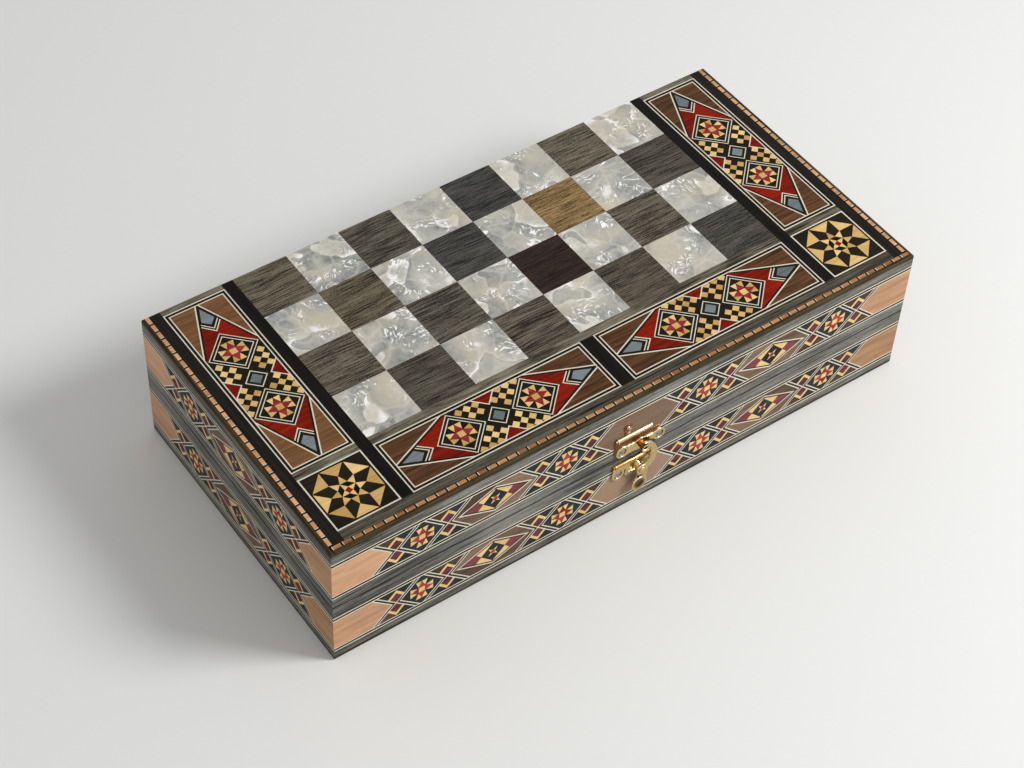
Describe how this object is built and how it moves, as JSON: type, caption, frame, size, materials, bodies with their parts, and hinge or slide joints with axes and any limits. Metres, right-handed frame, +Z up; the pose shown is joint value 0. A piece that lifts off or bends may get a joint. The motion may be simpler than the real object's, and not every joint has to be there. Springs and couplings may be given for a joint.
{
  "type": "folding chess and backgammon board",
  "caption": "Folding marquetry game box: hinged trays with a chess board outside, backgammon points inside and a brass hook clasp",
  "frame": {"origin": "centre of the underside that the closed box rests on", "axes": "+X along the long side, +Y from the clasp towards the hinges, +Z up"},
  "size_m": [0.4, 0.2073, 0.092],
  "materials": {
    "plywood": "thin board under the veneer, hidden on a closed box",
    "poplar": "plain solid wood walls under the veneer",
    "dark_veneer": "dark stained veneer, lacquered",
    "lining_veneer": "walnut veneer, lacquered",
    "light_inlay": "pale wood inlay, lacquered",
    "dark_inlay": "dark wood inlay, lacquered",
    "pearl": "polished pearl shell veneer with silvery streaks",
    "grey_wood": "open grained grey brown veneer, lacquered",
    "black_wood": "black stained veneer, lacquered",
    "walnut": "walnut ground of the marquetry, lacquered",
    "brass": "polished stamped brass",
    "steel": "plain steel screws and pins"
  },
  "bodies": {
    "base": {"base_board": "plywood", "base_front_wall": "poplar", "base_rear_wall": "poplar", "base_left_wall": "poplar", "base_right_wall": "poplar", "base_rim_strips": "dark_veneer", "base_lining": "lining_veneer", "base_field_veneer": "lining_veneer", "base_points_light": "light_inlay", "base_points_dark": "dark_inlay", "base_pearl_squares": "pearl", "base_wood_squares": "grey_wood", "base_edge_strips": "dark_veneer", "base_dash_banding": "black_wood", "base_border_strips": "dark_veneer", "base_black_strips": "black_wood", "base_grey_strips": "grey_wood", "base_marquetry_panels": "walnut", "base_star_tiles": "black_wood", "base_stringing_frames": "light_inlay", "base_side_rails": "grey_wood", "base_side_lines": "light_inlay", "base_side_bands": "black_wood", "hinge_leaves_base": "brass", "hinge_pins": "steel", "hinge_screws_base": "steel", "clasp_hook_plate": "brass", "clasp_hook_plate_screws": "steel", "clasp_rivet": "brass"},
    "lid": {"lid_board": "plywood", "lid_front_wall": "poplar", "lid_rear_wall": "poplar", "lid_left_wall": "poplar", "lid_right_wall": "poplar", "lid_rim_strips": "dark_veneer", "lid_lining": "lining_veneer", "lid_field_veneer": "lining_veneer", "lid_points_light": "light_inlay", "lid_points_dark": "dark_inlay", "lid_pearl_squares": "pearl", "lid_wood_squares": "grey_wood", "lid_edge_strips": "dark_veneer", "lid_dash_banding": "black_wood", "lid_border_strips": "dark_veneer", "lid_black_strips": "black_wood", "lid_grey_strips": "grey_wood", "lid_marquetry_panels": "walnut", "lid_star_tiles": "black_wood", "lid_stringing_frames": "light_inlay", "lid_side_rails": "grey_wood", "lid_side_lines": "light_inlay", "lid_side_bands": "black_wood", "hinge_leaves_lid": "brass", "hinge_screws_lid": "steel", "clasp_keeper_plate": "brass", "clasp_keeper_peg": "brass", "clasp_keeper_screws": "steel"},
    "hook": {"clasp_hook": "brass"}
  },
  "joints": [
    {"name": "lid_hinge", "type": "hinge", "parent": "base", "child": "lid", "pos_m": [0, 0.0995, 0.046], "axis": [-1, 0, 0], "range_deg": [0, 180]},
    {"name": "hook_swing", "type": "hinge", "parent": "base", "child": "hook", "pos_m": [0.003, -0.1033, 0.0318], "axis": [0, 1, 0], "range_deg": [0, 100]}
  ]
}
